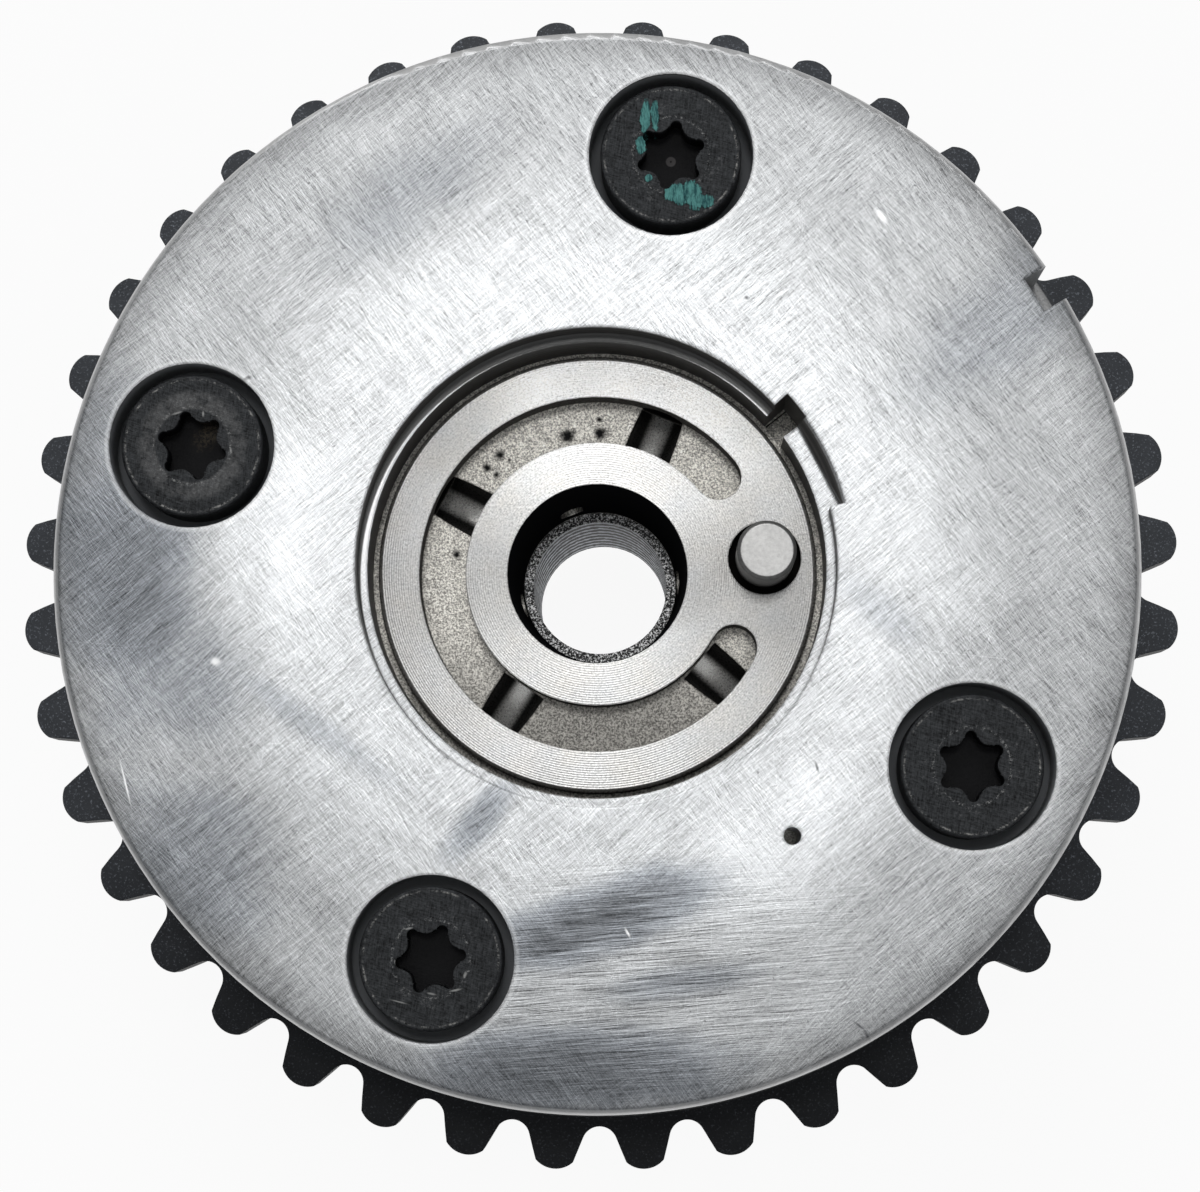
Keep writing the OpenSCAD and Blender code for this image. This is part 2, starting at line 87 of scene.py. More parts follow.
# Pits in the groove's floor: x, y, radius
PITS = [
    (-2.6, 12.26, 0.8),
    (0.17, 12.52, 0.72),
    (-8.48, 10.62, 0.54),
    (-9.6, 9.49, 0.5),
    (-12.17, 1.93, 0.48),
    (-8.75, 8.9, 0.4),
    (-7.7, 10.2, 0.2),
    (0.1, 13.7, 0.3),
]

BRIGHT = (0.95, 0.95, 0.95)

# Camera in millimetres and degrees: the point it looks at, its tilt off the vertical, its distance
CAMERA_AIM = (0.342, -2.578, FACE_Z)
CAMERA_TILT_X = 1.019
CAMERA_TILT_Y = 5.414
CAMERA_DISTANCE = 274.89
CAMERA_LENS = 99.28

# Share of the floor's own white that the camera sees, and the angles between which the overhead light fades
FLOOR_WHITENESS = 0.93
PATCH_FULL = 32.0
PATCH_FADES_OUT = 72.0


class Graph:
    """A material under construction, with short calls for the nodes it needs."""

    def __init__(self, name):
        self.material = bpy.data.materials.new(name)
        self.material.use_nodes = True
        self.tree = self.material.node_tree
        self.tree.nodes.clear()
        self.output = self.add("ShaderNodeOutputMaterial")
        coord = self.add("ShaderNodeTexCoord").outputs["Object"]
        self.mm = self.vector("SCALE", coord, scale=1 / MM)
        self.x, self.y, self.z = self.split(self.mm)
        self.facing = self.split(self.add("ShaderNodeNewGeometry").outputs["Normal"])[2]
        self.level = self.step(self.facing, 0.55, 0.85)

    def add(self, kind, **settings):
        node = self.tree.nodes.new(kind)
        for key, value in settings.items():
            setattr(node, key, value)
        return node

    def put(self, socket, value):
        if isinstance(value, bpy.types.NodeSocket):
            self.tree.links.new(value, socket)
        else:
            socket.default_value = value

    def math(self, operation, a, b=0.0):
        node = self.add("ShaderNodeMath", operation=operation)
        self.put(node.inputs[0], a)
        self.put(node.inputs[1], b)
        return node.outputs[0]

    def vector(self, operation, a, b=None, scale=None):
        node = self.add("ShaderNodeVectorMath", operation=operation)
        self.put(node.inputs[0], a)
        if b is not None:
            self.put(node.inputs[1], b)
        if scale is not None:
            self.put(node.inputs["Scale"], scale)
        return node.outputs["Value"] if operation in ("LENGTH", "DOT_PRODUCT") else node.outputs["Vector"]

    def split(self, vector):
        node = self.add("ShaderNodeSeparateXYZ")
        self.put(node.inputs[0], vector)
        return node.outputs[0], node.outputs[1], node.outputs[2]

    def join(self, x, y, z=0.0):
        node = self.add("ShaderNodeCombineXYZ")
        for socket, value in zip(node.inputs, (x, y, z)):
            self.put(socket, value)
        return node.outputs[0]

    def step(self, value, start, end):
        """Smooth rise from 0 at start to 1 at end; start may be the larger."""
        node = self.add("ShaderNodeMapRange", interpolation_type="SMOOTHSTEP")
        self.put(node.inputs["Value"], value)
        low, high = min(start, end), max(start, end)
        self.put(node.inputs["From Min"], low)
        self.put(node.inputs["From Max"], high)
        self.put(node.inputs["To Min"], 0.0 if start < end else 1.0)
        self.put(node.inputs["To Max"], 1.0 if start < end else 0.0)
        return node.outputs["Result"]

    def band(self, value, low, high, soft):
        """1 between low and high, falling to 0 over soft on either side."""
        return self.times(self.step(value, low - soft, low), self.step(value, high + soft, high))

    def spread(self, value, low, high):
        """Maps 0..1 to low..high."""
        node = self.add("ShaderNodeMapRange")
        self.put(node.inputs["Value"], value)
        self.put(node.inputs["To Min"], low)
        self.put(node.inputs["To Max"], high)
        return node.outputs["Result"]

    def times(self, value, factor):
        return self.math("MULTIPLY", value, factor)

    def all_of(self, *masks):
        value = masks[0]
        for other in masks[1:]:
            value = self.times(value, other)
        return value

    def any_of(self, *masks):
        value = masks[0]
        for other in masks[1:]:
            value = self.math("MAXIMUM", value, other)
        return value

    def total(self, *values):
        value = values[0]
        for other in values[1:]:
            value = self.math("ADD", value, other)
        return value

    def invert(self, mask):
        return self.math("SUBTRACT", 1.0, mask)

    def radius(self, cx=0.0, cy=0.0):
        dx = self.math("SUBTRACT", self.x, cx)
        dy = self.math("SUBTRACT", self.y, cy)
        return self.vector("LENGTH", self.join(dx, dy))

    def noise(self, size, detail=3.0, rough=0.55, stretch=None, turn=0.0, shift=0.0, warp=0.0):
        """Noise with features of about size mm, stretched along its own x when stretch is given."""
        vector = self.vector("ADD", self.mm, (shift, shift * 0.7, shift * 0.3))
        if stretch:
            node = self.add("ShaderNodeVectorRotate", rotation_type="Z_AXIS")
            self.put(node.inputs["Vector"], vector)
            self.put(node.inputs["Angle"], turn)
            vector = self.vector("MULTIPLY", node.outputs[0], (1 / stretch, 1.0, 1.0))
        node = self.add("ShaderNodeTexNoise")
        self.put(node.inputs["Vector"], vector)
        self.put(node.inputs["Scale"], 1 / size)
        self.put(node.inputs["Detail"], detail)
        self.put(node.inputs["Roughness"], rough)
        self.put(node.inputs["Distortion"], warp)
        return node.outputs[0]

    def strokes(self, cell, half_length, half_width, shift):
        """Thin straight scratches: one in each cell of a random mosaic, each in its own direction."""
        flat = self.join(self.math("ADD", self.x, shift), self.math("ADD", self.y, shift * 1.7))
        mosaic = self.add("ShaderNodeTexVoronoi", voronoi_dimensions="2D")
        self.put(mosaic.inputs["Vector"], flat)
        self.put(mosaic.inputs["Scale"], 1 / cell)
        pick = self.add("ShaderNodeSeparateColor")
        self.put(pick.inputs[0], mosaic.outputs["Color"])
        turn = self.add("ShaderNodeVectorRotate", rotation_type="Z_AXIS")
        self.put(turn.inputs["Vector"], self.vector("SUBTRACT", flat, mosaic.outputs["Position"]))
        self.put(turn.inputs["Angle"], self.times(pick.outputs[0], math.pi))
        along, across, _ = self.split(turn.outputs[0])
        thin = self.step(self.math("ABSOLUTE", across), half_width, 0.0)
        short = self.step(self.math("ABSOLUTE", along), half_length, half_length * 0.4)
        return self.all_of(thin, short, pick.outputs[1])

    def colour(self, mask, first, second):
        """first where mask is 0, second where it is 1."""
        node = self.add("ShaderNodeMix", data_type="RGBA")
        self.put(node.inputs["Factor"], mask)
        self.put(node.inputs["A"], rgba(first))
        self.put(node.inputs["B"], rgba(second))
        return node.outputs["Result"]

    def grey(self, value, tint=(1.0, 1.0, 1.0)):
        """Grey of the given brightness, tinted."""
        return self.vector("SCALE", tint, scale=value)

    def bump(self, height, depth, round_edge=None):
        """Normal of a relief depth mm deep, on edges rounded by round_edge mm."""
        node = self.add("ShaderNodeBump")
        self.put(node.inputs["Height"], height)
        self.put(node.inputs["Distance"], depth * MM)
        self.put(node.inputs["Strength"], 1.0)
        if round_edge:
            bevel = self.add("ShaderNodeBevel", samples=4)
            self.put(bevel.inputs["Radius"], round_edge * MM)
            self.put(node.inputs["Normal"], bevel.outputs[0])
        return node.outputs[0]

    def finish(self, base, rough, metal=1.0, normal=None, gloss=0.5):
        """Gloss is the strength of the shine where the surface isn't metal."""
        shader = self.add("ShaderNodeBsdfPrincipled")
        self.put(shader.inputs["Specular IOR Level"], gloss)
        self.put(shader.inputs["Base Color"], rgba(base))
        self.put(shader.inputs["Roughness"], rough)
        self.put(shader.inputs["Metallic"], metal)
        if normal is not None:
            self.put(shader.inputs["Normal"], normal)
        self.tree.links.new(shader.outputs[0], self.output.inputs["Surface"])
        return self.material


def rgba(colour):
    return colour if isinstance(colour, bpy.types.NodeSocket) else (*colour, 1.0)


def nearest_screw(g):
    """Distance to the nearest screw's axis."""
    distance = g.radius(*SCREWS[0])
    for centre in SCREWS[1:]:
        distance = g.math("MINIMUM", distance, g.radius(*centre))
    return distance


def blob(g, cx, cy, rx, ry, turn=0.0, ragged=0.25, grain=7.0):
    """Soft oval patch, 1 at its centre, with a border that wanders over grain mm."""
    c, s = math.cos(turn), math.sin(turn)
    dx = g.math("SUBTRACT", g.x, cx)
    dy = g.math("SUBTRACT", g.y, cy)
    u = g.total(g.times(dx, c / rx), g.times(dy, s / rx))
    v = g.math("SUBTRACT", g.times(dy, c / ry), g.times(dx, s / ry))
    reach = g.vector("LENGTH", g.join(u, v))
    wander = g.math("SUBTRACT", g.noise(grain, 4.0, 0.6, shift=cx), 0.5)
    wobble = g.times(wander, 2 * ragged)
    return g.step(g.total(reach, wobble), 1.2, 0.2)


def marks(g, places, ragged, grain, origin=(0.0, 0.0)):
    """Several soft patches, placed from origin, as one mask."""
    ox, oy = origin
    return g.any_of(*[blob(g, ox + x, oy + y, *shape, ragged, grain) for x, y, *shape in places])


def scratch_field(g):
    """Many fine scratches in all directions, and a few long ones."""
    fine = [g.strokes(1.1 + 0.3 * k, 1.2 + 0.5 * k, 0.035, 17.0 * k + 3.0) for k in range(6)]
    long = [g.strokes(6.0 + 2.0 * k, 8.0, 0.04, 31.0 * k + 11.0) for k in range(3)]
    return g.any_of(*fine), g.any_of(*long)


def brushing(g, directions, size=0.085, stretch=42.0):
    """Fine grinding marks that cross in several directions, between -0.5 and 0.5."""
    layers = []
    for angle in directions:
        marks = g.noise(size, 2.0, 0.65, stretch=stretch, turn=angle, shift=9.0 + 7.0 * angle)
        layers.append(g.math("SUBTRACT", g.step(marks, 0.47, 0.75), g.step(marks, 0.53, 0.25)))
    return g.times(g.total(*layers), 0.24 / len(directions))


def ground_steel():
    """The cover: ground and knocked face with painted dark reflections, and painted shade on the walls in
    its opening and pockets.
    """
    g = Graph("ground_steel")
    fine, long = scratch_field(g)
    cloud = g.noise(15.0, 4.0, 0.55, shift=5.0, warp=0.9)
    swirl = g.noise(5.0, 4.0, 0.6, stretch=3.0, turn=0.7, shift=13.0, warp=0.6)
    speck = g.noise(0.3, 3.0, 0.75, shift=2.0)
    reach = g.radius()

    # The grinding marks run one way or the other from zone to zone, and level near the lower edge
    rising = brushing(g, (-0.85, -0.6))
    falling = brushing(g, (0.75, 1.05))
    flat = brushing(g, (-0.12, -0.04), stretch=60.0)
    zone = g.step(g.noise(13.0, 2.0, 0.5, shift=27.0), 0.38, 0.62)
    crossed = g.total(
        g.all_of(rising, g.spread(zone, 0.35, 1.0)),
        g.all_of(falling, g.spread(zone, 1.0, 0.35)),
    )
    low = blob(g, 4.0, -34.0, 22.0, 11.0, 0.1, 0.3)
    brush = g.total(g.all_of(crossed, g.invert(low)), g.all_of(flat, low, 1.5))

    # Brightness of the face: painted dark reflections in patches, painted shade towards the rim, painted
    # highlights in two places
    dark = g.any_of(*[g.times(blob(g, *spot, ragged=0.35), strength) for *spot, strength in PAINTED_DARK_PATCHES])
    dark = g.all_of(dark, g.spread(swirl, 0.6, 1.4), g.spread(g.total(brush, 0.5), 1.5, 0.5))
    # Painted shade: the face darkens towards the rim
    rim = g.total(g.times(g.step(reach, 24.0, 37.0), 0.34), g.times(g.step(reach, 41.0, COVER_R), 0.25))
    # Painted highlights on two areas of the face
    painted_highlight = g.any_of(blob(g, 16.0, -23.0, 11.0, 7.0, 0.6), blob(g, -25.5, 3.0, 8.0, 9.0))
    tone = g.total(
        0.63,
        g.times(painted_highlight, 0.16),
        g.spread(cloud, -0.12, 0.12),
        g.spread(swirl, -0.12, 0.12),
        g.spread(speck, -0.34, 0.34),
        g.times(brush, 2.2),
        g.times(fine, 0.3),
        g.times(long, 0.3),
    )
    tone = g.all_of(tone, g.invert(dark), g.invert(rim))
    unshaded_face = g.grey(tone, (0.985, 1.0, 1.012))
    bluish = g.grey(tone, (0.95, 1.0, 1.07))
    base = g.colour(g.step(dark, 0.0, 0.5), unshaded_face, bluish)

    # Dents, pits and chips
    pits = g.times(g.step(g.noise(0.4, 1.0, 0.5, shift=50.0), 0.74, 0.8), 0.7)
    knock = g.any_of(marks(g, KNOCKS, 0.3, 0.5), pits)
    base = g.colour(g.times(knock, 0.8), base, (0.06, 0.06, 0.065))
    base = g.colour(g.times(marks(g, CHIPS, 0.3, 0.5), 0.85), base, BRIGHT)

    # Painted highlights on the rounding of the outer edge, and on the mouths of the screw pockets
    edge = g.all_of(
        g.step(reach, COVER_R - 0.9, COVER_R - 0.5),
        g.step(g.z, FACE_Z - 1.4, FACE_Z - 0.9),
        g.step(g.facing, 0.98, 0.9),
    )
    base = g.colour(g.all_of(edge, g.spread(cloud, 0.3, 0.9)), base, (0.66, 0.66, 0.66))
    from_screw = nearest_screw(g)
    lip_highlight = g.all_of(g.band(from_screw, POCKET_R, POCKET_R + 0.3, 0.2), g.spread(cloud, 0.2, 1.0))
    base = g.colour(g.times(lip_highlight, 0.3), base, BRIGHT)

    # Painted shade in the pockets, darker with depth, and on the wall of the opening; painted light and a
    # painted shadow of the upper edge on its ledge
    inside = g.step(g.z, FACE_Z - 0.25, FACE_Z - 0.6)
    pocket = g.times(g.step(from_screw, POCKET_R + 0.15, POCKET_R - 0.05), inside)
    pocket_depth_shade = g.spread(g.step(g.z, FACE_Z - 3.0, FACE_Z - 0.4), 0.20, 0.42)
    base = g.colour(pocket, base, g.grey(pocket_depth_shade, (0.96, 1.0, 1.05)))
    ridges = g.math("SINE", g.times(g.z, 2 * math.pi / 0.9))
    # Painted shade on the opening's wall, with its machining ridges
    wall = g.all_of(g.step(reach, 22.5, 22.0), inside, g.invert(g.level))
    base = g.colour(wall, base, g.grey(g.spread(ridges, 0.05, 0.09), (1.0, 0.95, 0.9)))
    within = g.step(reach, OPENING_R + 0.2, OPENING_R + 0.05)
    ledge = g.all_of(within, inside, g.level, g.step(g.x, 16.5, 15.5))
    # Painted light on the upper ledge, and a painted shadow of the opening's upper edge across its outer
    # part
    ledge_shadow = g.all_of(ledge, g.step(g.radius(0.0, -0.6), 19.78, 19.92))
    base = g.colour(g.all_of(ledge, g.step(g.y, -5.0, 4.0)), base, BRIGHT)
    base = g.colour(g.times(ledge_shadow, 0.9), base, (0.03, 0.03, 0.028))

    recess_shade = g.any_of(pocket, wall)
    rough = g.total(0.36, g.spread(cloud, -0.04, 0.04), g.times(brush, 0.2))
    height = g.total(
        g.times(brush, 2.2),
        g.times(fine, -0.3),
        g.times(long, -0.4),
        g.times(speck, 0.5),
    )
    normal = g.bump(height, 0.010, round_edge=0.35)
    return g.finish(base, rough, g.invert(recess_shade), normal, gloss=0.05)


def sintered_black():
    """The toothed housing: blued, with bright specks; ground where the cover sits on it."""
    g = Graph("sintered_black")
    grain = g.noise(0.22, 2.0, 0.75)
    patch = g.noise(3.0, 3.0, 0.6, shift=8.0)
    sparkle = g.step(grain, 0.56, 0.70)
    tone = g.total(0.055, g.spread(patch, -0.018, 0.02), g.times(sparkle, 0.14))
    # Painted shade: darker towards the bottom, and darker on steep sides than on level faces
    lower_shade = g.spread(g.step(g.y, -46.0, -12.0), 0.3, 1.0)
    tone = g.all_of(tone, g.spread(g.level, 0.25, 1.0), lower_shade)
    base = g.grey(tone, (0.93, 1.0, 1.12))
    ground = g.step(g.z, COVER_Z - 0.25, COVER_Z - 0.05)
    base = g.colour(ground, base, g.grey(g.spread(grain, 0.12, 0.5)))
    metal = g.math("MAXIMUM", g.all_of(sparkle, lower_shade, 0.7), ground)
    normal = g.bump(grain, 0.05, round_edge=0.3)
    return g.finish(base, g.spread(grain, 0.42, 0.6), metal, normal, gloss=0.12)


def black_screw():
    """The cover screws: black oxide, worn at the edges with a painted glint on the head's rim, one with
    dabs of paint.
    """
    g = Graph("black_screw")
    reach = nearest_screw(g)
    grain = g.noise(0.2, 3.0, 0.75)
    wear = g.noise(1.0, 3.0, 0.65, shift=4.0)
    streak = brushing(g, (0.3, 1.7), size=0.1, stretch=10.0)
    top = g.step(g.z, HEAD_TOP_Z - 0.3, HEAD_TOP_Z - 0.1)
    tone = g.total(
        0.028,
        g.spread(grain, -0.040, 0.046),
        g.spread(wear, -0.014, 0.018),
        g.times(streak, 0.12),
    )
    base = g.grey(g.math("MAXIMUM", tone, 0.004), (0.95, 1.0, 1.06))

    # Worn edge of the head brightened as a painted glint, edge of the socket, and scuffs round it
    rubbed = g.all_of(g.step(wear, 0.42, 0.62), g.step(grain, 0.44, 0.6))
    rim = g.all_of(g.band(reach, 5.56, 5.64, 0.07), rubbed, top)
    collar = g.all_of(g.band(reach, 3.2, 3.3, 0.12), g.step(grain, 0.54, 0.64), top)
    scuff = g.all_of(g.band(reach, 3.3, 4.2, 0.4), g.step(wear, 0.5, 0.7), g.step(grain, 0.5, 0.62), top)
    base = g.colour(g.times(rim, 0.6), base, (0.42, 0.41, 0.39))
    base = g.colour(g.times(collar, 0.5), base, (0.40, 0.40, 0.39))
    base = g.colour(g.times(scuff, 0.3), base, (0.25, 0.25, 0.25))

    # Socket: painted near-black shade, dirty in one screw, with a centre mark in another
    deep = g.all_of(g.step(g.z, HEAD_TOP_Z - 0.3, HEAD_TOP_Z - 0.9), g.step(reach, 3.3, 3.1))
    base = g.colour(deep, base, (0.003, 0.003, 0.004))
    worn_ring = g.step(g.radius(*WORN_SCREW), 4.9, 4.2)
    worn = g.all_of(worn_ring, g.step(reach, 3.0, 3.2), top, g.step(wear, 0.3, 0.6))
    base = g.colour(g.times(worn, 0.45), base, g.grey(g.spread(grain, 0.0, 0.28)))
    lump = marks(g, [DIRT_LUMP], 0.6, 0.6, WORN_SCREW)
    dirt = g.all_of(deep, lump, g.step(grain, 0.4, 0.6))
    base = g.colour(g.times(dirt, 0.7), base, (0.10, 0.08, 0.055))
    dimple = g.all_of(deep, g.level, g.band(g.radius(*PAINTED_SCREW), 0.14, 0.36, 0.12))
    base = g.colour(g.times(dimple, 0.5), base, (0.16, 0.15, 0.15))

    # Nicks left by the driver, and paint
    nick = g.any_of(
        marks(g, WORN_SCREW_NICKS, 0.4, 0.5, WORN_SCREW),
        marks(g, NICKED_SCREW_NICKS, 0.4, 0.5, NICKED_SCREW),
    )
    base = g.colour(g.times(g.all_of(nick, top), 0.6), base, (0.4, 0.4, 0.39))
    flake = g.noise(0.22, 4.0, 0.75, stretch=4.0, turn=1.5, shift=12.0)
    dabs = marks(g, PAINT_DABS, 0.5, 0.8, PAINTED_SCREW)
    paint = g.step(g.times(dabs, g.spread(flake, 0.2, 1.5)), 0.26, 0.46)
    green = g.colour(g.step(flake, 0.35, 0.65), (0.012, 0.07, 0.075), (0.10, 0.30, 0.28))
    base = g.colour(paint, base, green)

    metal = g.all_of(g.spread(paint, 0.5, 0.0), g.invert(deep))
    rough = g.spread(grain, 0.36, 0.58)
    height = g.total(grain, g.times(paint, 1.5), streak)
    return g.finish(base, rough, metal, g.bump(height, 0.03, round_edge=0.12), gloss=0.14)


def rotor_steel():
    """The rotor: turned seat, speckled groove floor, oil channels with painted bright centres, painted
    shade in its bores and recesses.
    """
    g = Graph("rotor_steel")
    reach = g.radius()
    steep = g.invert(g.level)
    fleck = g.noise(0.2, 3.0, 0.75)
    fine, long = scratch_field(g)

    # Seat: fine turning marks, with a painted highlight fan above and below the axis and painted light
    # brightening the top
    seat = g.times(g.step(g.z, SEAT_Z - 0.25, SEAT_Z - 0.05), g.level)
    warble = g.times(g.noise(9.0, 2.0, 0.5, shift=3.0), 0.25)
    lathe = g.math("SINE", g.times(g.total(reach, warble), 2 * math.pi / 0.2))
    cloud = g.noise(6.0, 3.0, 0.55, shift=6.0)
    seat_tone = g.total(
        0.56,
        g.spread(cloud, -0.10, 0.10),
        g.times(lathe, 0.03),
        g.spread(fleck, -0.62, 0.62),
        g.times(fine, 0.14),
        g.times(long, 0.10),
    )
    fan_highlight = g.math("DIVIDE", g.math("ABSOLUTE", g.y), reach)
    seat_tone = g.times(seat_tone, g.spread(g.step(fan_highlight, 0.1, 1.0), 0.86, 1.3))
    seat_tone = g.times(seat_tone, g.spread(g.step(g.y, -15.0, 15.0), 0.94, 1.24))
    # Painted shade patch on the upper left of the seat
    seat_shade_patch = blob(g, -11.5, 12.5, 7.0, 5.0, 0.8, 0.3)
    seat_tone = g.times(seat_tone, g.spread(seat_shade_patch, 1.0, 0.72))
    tint = g.noise(3.0, 3.0, 0.6, shift=31.0)
    cool = g.grey(seat_tone, (0.98, 1.0, 1.02))
    warm = g.grey(seat_tone, (1.045, 1.0, 0.93))
    seat_colour = g.colour(tint, cool, warm)

    # Floor of the groove: as sintered, with a few pits, and painted shade darkening its lower part
    speck = g.noise(0.17, 2.0, 0.8, shift=14.0)
    hollow = g.noise(0.8, 2.0, 0.6, shift=21.0)
    floor_tone = g.times(g.spread(g.step(speck, 0.34, 0.66), 0.24, 1.0), g.spread(hollow, 0.65, 1.25))
    floor_tone = g.times(floor_tone, g.spread(g.step(g.y, -14.0, -3.0), 0.5, 1.0))
    floor_colour = g.grey(floor_tone, (1.04, 1.0, 0.92))
    pit = g.any_of(*[blob(g, x, y, r, r, ragged=0.6, grain=0.5) for x, y, r in PITS])
    floor_colour = g.colour(pit, floor_colour, (0.01, 0.01, 0.01))
    base = g.colour(seat, floor_colour, seat_colour)

    # Oil channels with painted bright centres and painted shade on their flanks, and painted shade on the
    # steep sides of the groove
    sunk = g.step(g.z, GROOVE_Z - 0.05, GROOVE_Z - 0.2)
    above_drillings = g.step(g.z, DRILL_TOP_Z + 0.5, DRILL_TOP_Z + 1.0)
    trough = g.all_of(sunk, g.band(reach, GROOVE_IN_R, GROOVE_OUT_R, 0.2), above_drillings)
    painted_gleam = g.all_of(g.step(g.facing, 0.8, 0.975), g.spread(fleck, 0.7, 1.3))
    base = g.colour(trough, base, g.grey(g.spread(painted_gleam, 0.04, 1.0), (1.02, 1.0, 0.96)))
    groove_wall_shade = g.all_of(steep, g.step(g.z, GROOVE_Z - 0.05, GROOVE_Z + 0.1))
    base = g.colour(g.times(groove_wall_shade, 0.85), base, (0.03, 0.028, 0.026))

    # Oil bore with painted near-black shade on its wall, its ledge, and the bolt hole below it
    above_ledge = g.step(g.z, BORE_LEDGE_Z + 0.05, BORE_LEDGE_Z + 0.3)
    bore = g.all_of(steep, g.step(reach, 8.3, 8.1), above_ledge)
    base = g.colour(bore, base, (0.012, 0.012, 0.013))
    grit = g.step(g.noise(0.16, 2.0, 0.8, shift=40.0), 0.5, 0.6)
    at_ledge = g.band(g.z, BORE_LEDGE_Z - 0.1, BORE_LEDGE_Z + 0.1, 0.1)
    ledge = g.all_of(g.level, g.step(reach, 7.4, 7.2), at_ledge)
    base = g.colour(ledge, base, g.grey(g.spread(grit, 0.04, 0.85)))
    ridge = g.noise(0.5, 3.0, 0.7, shift=17.0)
    groove = g.math("SINE", g.total(g.times(g.z, 2 * math.pi / 2.3), g.times(ridge, 6.0)))
    through = g.all_of(steep, g.step(reach, 6.3, 6.1), g.step(g.z, BORE_LEDGE_Z, BORE_LEDGE_Z - 0.2))
    through_tone = g.spread(g.step(groove, -0.2, 1.0), 0.01, 0.7)
    base = g.colour(through, base, g.grey(through_tone, (0.96, 1.0, 1.06)))

    # Painted near-black shade in the dowel's mouth, on the rim of the seat, and on what lies deeper than
    # the channels
    mouth = g.all_of(g.step(g.radius(*DOWEL), 3.4, 3.2), g.step(g.z, SEAT_Z - 0.05, SEAT_Z - 0.2))
    side = g.all_of(steep, g.step(reach, 17.0, 17.5), g.step(g.z, SEAT_Z - 0.05, SEAT_Z - 0.3))
    recess_shade = g.all_of(sunk, g.step(reach, 7.4, 7.6), g.invert(trough), g.step(reach, 17.5, 17.0))
    base = g.colour(g.any_of(mouth, side, recess_shade), base, (0.012, 0.011, 0.010))

    black = g.any_of(bore, groove_wall_shade, mouth, side, recess_shade)
    dull = g.any_of(black, g.times(through, 0.5), g.times(trough, 0.35))
    rough = g.total(
        g.spread(seat, 0.44, 0.36),
        g.spread(trough, 0.0, -0.16),
        g.spread(fleck, -0.07, 0.07),
    )
    relief = g.total(
        g.all_of(seat, g.times(lathe, 0.5)),
        g.all_of(g.invert(seat), g.invert(trough), g.times(speck, 3.0)),
        fleck,
        g.times(fine, -0.3),
    )
    normal = g.bump(relief, 0.012, round_edge=0.2)
    return g.finish(base, rough, g.invert(dull), normal, gloss=0.0)


def front_steel():
    """The front plate: turned, with light scratches."""
    g = Graph("front_steel")
    reach = g.radius()
    lathe = g.math("SINE", g.times(reach, 2 * math.pi / 0.5))
    cloud = g.noise(10.0, 3.0, 0.55)
    fine, long = scratch_field(g)
    tone = g.total(
        0.46,
        g.spread(cloud, -0.08, 0.08),
        g.times(lathe, 0.02),
        g.times(fine, 0.08),
        g.times(long, 0.1),
    )
    height = g.math("SUBTRACT", g.times(lathe, 0.5), g.times(fine, 0.6))
    return g.finish(g.grey(tone, (0.99, 1.0, 1.01)), 0.38, 1.0, g.bump(height, 0.008, round_edge=0.25))


def plain_steel(name, level, rough, size):
    """Steel whose brightness wanders a little over size mm."""
    g = Graph(name)
    grain = g.noise(size, 3.0, 0.65)
    cloud = g.noise(size * 9, 2.0, 0.5, shift=3.0)
    tone = g.total(level, g.spread(grain, -0.22, 0.22), g.spread(cloud, -0.08, 0.08))
    # Painted shade: steep sides darker than level faces
    tone = g.times(tone, g.spread(g.level, 0.35, 1.0))
    uneven = g.spread(grain, rough - 0.06, rough + 0.06)
    normal = g.bump(grain, 0.012, round_edge=0.15)
    return g.finish(g.grey(tone, (1.01, 1.0, 0.98)), uneven, 1.0, normal)


def seal_resin():
    """The seal bars: dark brown moulded resin."""
    g = Graph("seal_resin")
    grain = g.noise(0.5, 3.0, 0.6)
    base = g.colour(grain, (0.07, 0.055, 0.045), (0.12, 0.10, 0.085))
    return g.finish(base, g.spread(grain, 0.45, 0.6), 0.0, g.bump(grain, 0.02, round_edge=0.1))


def light_path_mask(tree):
    """1 for rays from the camera and for those that mirror or pass through something."""
    path = tree.nodes.new("ShaderNodeLightPath")
    mask = path.outputs["Is Camera Ray"]
    for kind in ("Is Glossy Ray", "Is Transmission Ray"):
        either = tree.nodes.new("ShaderNodeMath")
        either.operation = "MAXIMUM"
        tree.links.new(mask, either.inputs[0])
        tree.links.new(path.outputs[kind], either.inputs[1])
        mask = either.outputs[0]
    return mask


def white_floor():
    """Plain floor that looks white and still takes the part's shadow."""
    bpy.ops.mesh.primitive_plane_add(size=6.0, location=(0.0, 0.0, 0.0))
    floor = bpy.context.object
    floor.name = "white_floor"
    material = bpy.data.materials.new("white_floor")
    material.use_nodes = True
    tree = material.node_tree
    tree.nodes.clear()
    output = tree.nodes.new("ShaderNodeOutputMaterial")
    plain = tree.nodes.new("ShaderNodeBsdfDiffuse")
    plain.inputs["Color"].default_value = (0.8, 0.8, 0.8, 1.0)
    glow = tree.nodes.new("ShaderNodeEmission")
    glow.inputs["Color"].default_value = (1.0, 1.0, 1.0, 1.0)
    glow.inputs["Strength"].default_value = 1.0
    seen = tree.nodes.new("ShaderNodeMixShader")
    mask = light_path_mask(tree)
    share = tree.nodes.new("ShaderNodeMath")
    share.operation = "MULTIPLY"
    share.inputs[1].default_value = FLOOR_WHITENESS
    tree.links.new(mask, share.inputs[0])
    tree.links.new(share.outputs[0], seen.inputs[0])
    tree.links.new(plain.outputs[0], seen.inputs[1])
    tree.links.new(glow.outputs[0], seen.inputs[2])
    tree.links.new(seen.outputs[0], output.inputs["Surface"])
    floor.data.materials.append(material)


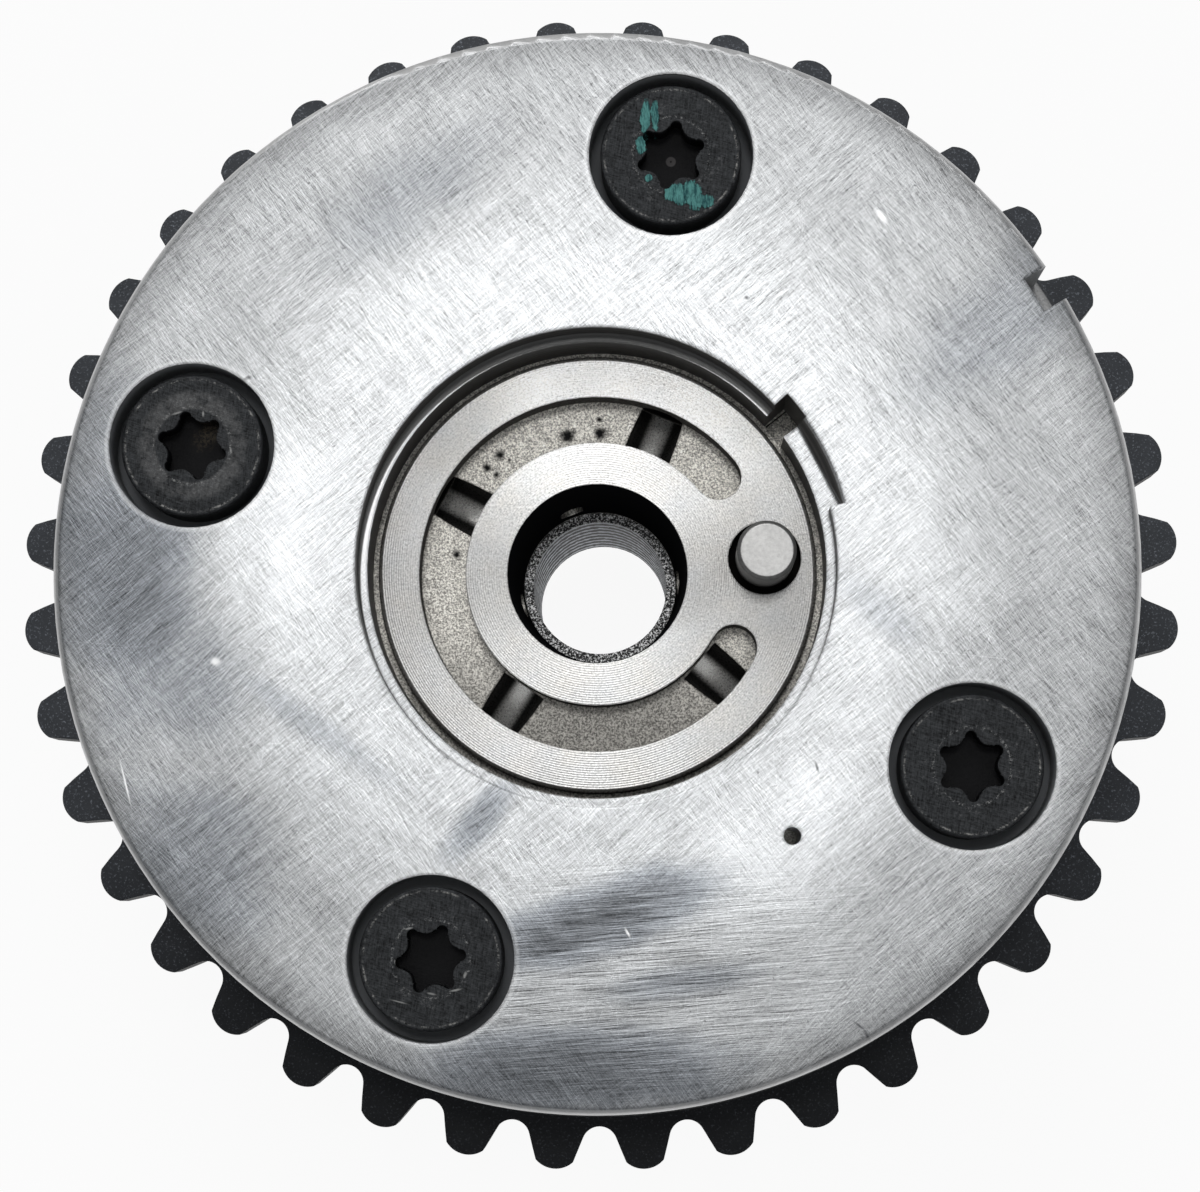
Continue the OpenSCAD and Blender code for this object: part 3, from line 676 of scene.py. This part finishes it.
def surroundings(lean, bright, dim):
    """Soft light from a wide patch overhead that leans towards the top of the picture."""
    world = bpy.data.worlds.new("surroundings")
    bpy.context.scene.world = world
    world.use_nodes = True
    tree = world.node_tree
    tree.nodes.clear()
    output = tree.nodes.new("ShaderNodeOutputWorld")
    coord = tree.nodes.new("ShaderNodeTexCoord")
    towards = tree.nodes.new("ShaderNodeVectorMath")
    towards.operation = "DOT_PRODUCT"
    tilt = math.radians(lean)
    towards.inputs[1].default_value = (0.0, math.sin(tilt), math.cos(tilt))
    tree.links.new(coord.outputs["Generated"], towards.inputs[0])
    level = tree.nodes.new("ShaderNodeMapRange")
    level.interpolation_type = "SMOOTHSTEP"
    level.inputs["From Min"].default_value = math.cos(math.radians(PATCH_FADES_OUT))
    level.inputs["From Max"].default_value = math.cos(math.radians(PATCH_FULL))
    level.inputs["To Min"].default_value = dim
    level.inputs["To Max"].default_value = bright
    tree.links.new(towards.outputs["Value"], level.inputs["Value"])
    sky = tree.nodes.new("ShaderNodeBackground")
    sky.inputs["Color"].default_value = (0.97, 0.985, 1.0, 1.0)
    tree.links.new(level.outputs[0], sky.inputs["Strength"])
    tree.links.new(sky.outputs[0], output.inputs["Surface"])


def sun(name, lean, sideways, strength, spread):
    """Light from the top of the picture, leaning back from straight overhead by lean degrees."""
    data = bpy.data.lights.new(name, "SUN")
    data.energy = strength
    data.angle = math.radians(spread)
    lamp = bpy.data.objects.new(name, data)
    bpy.context.collection.objects.link(lamp)
    tilt = math.radians(lean)
    towards = Vector((math.sin(math.radians(sideways)), math.sin(tilt), math.cos(tilt)))
    lamp.rotation_mode = "QUATERNION"
    lamp.rotation_quaternion = towards.to_track_quat("Z", "Y")
    lamp.location = towards


def camera():
    """Almost straight above, a little towards the bottom of the picture."""
    aim = Vector(CAMERA_AIM) * MM
    tilt_x = math.sin(math.radians(CAMERA_TILT_X))
    tilt_y = -math.sin(math.radians(CAMERA_TILT_Y))
    back = Vector((tilt_x, tilt_y, math.sqrt(1 - tilt_x ** 2 - tilt_y ** 2)))
    side = Vector((0.0, 1.0, 0.0)).cross(back).normalized()
    up = back.cross(side)
    data = bpy.data.cameras.new("camera")
    data.sensor_fit = "HORIZONTAL"
    data.sensor_width = 36.0
    data.lens = CAMERA_LENS
    data.clip_start = 0.01
    data.clip_end = 20.0
    eye = bpy.data.objects.new("camera", data)
    bpy.context.collection.objects.link(eye)
    turn = Matrix((side, up, back)).transposed().to_4x4()
    eye.matrix_world = Matrix.Translation(aim + back * CAMERA_DISTANCE * MM) @ turn
    bpy.context.scene.camera = eye


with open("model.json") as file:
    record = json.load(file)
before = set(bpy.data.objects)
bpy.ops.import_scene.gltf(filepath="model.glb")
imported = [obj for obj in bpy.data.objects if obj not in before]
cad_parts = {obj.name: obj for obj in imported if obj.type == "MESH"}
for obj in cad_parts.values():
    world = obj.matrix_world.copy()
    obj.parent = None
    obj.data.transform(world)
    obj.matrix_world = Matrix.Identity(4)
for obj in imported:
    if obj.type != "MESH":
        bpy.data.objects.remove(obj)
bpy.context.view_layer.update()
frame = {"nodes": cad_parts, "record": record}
scene = bpy.context.scene
scene.view_settings.view_transform = "Standard"

finishes = {
    "sintered_black": sintered_black(),
    "ground_steel": ground_steel(),
    "front_steel": front_steel(),
    "black_screw": black_screw(),
    "rotor_steel": rotor_steel(),
    "pin_steel": plain_steel("pin_steel", 0.47, 0.42, 0.35),
    "hard_steel": plain_steel("hard_steel", 0.46, 0.3, 0.5),
    "spring_steel": plain_steel("spring_steel", 0.4, 0.3, 0.6),
    "seal_resin": seal_resin(),
}
for subpart in frame["record"]["subparts"]:
    mesh = frame["nodes"][subpart["node"]].data
    mesh.materials.clear()
    mesh.materials.append(finishes[subpart["material_slot"]])

white_floor()
surroundings(lean=12.0, bright=0.5, dim=0.3)
sun("key", lean=11.5, sideways=0.0, strength=0.3, spread=9.0)
sun("fill", lean=50.0, sideways=-8.0, strength=1.0, spread=30.0)
camera()
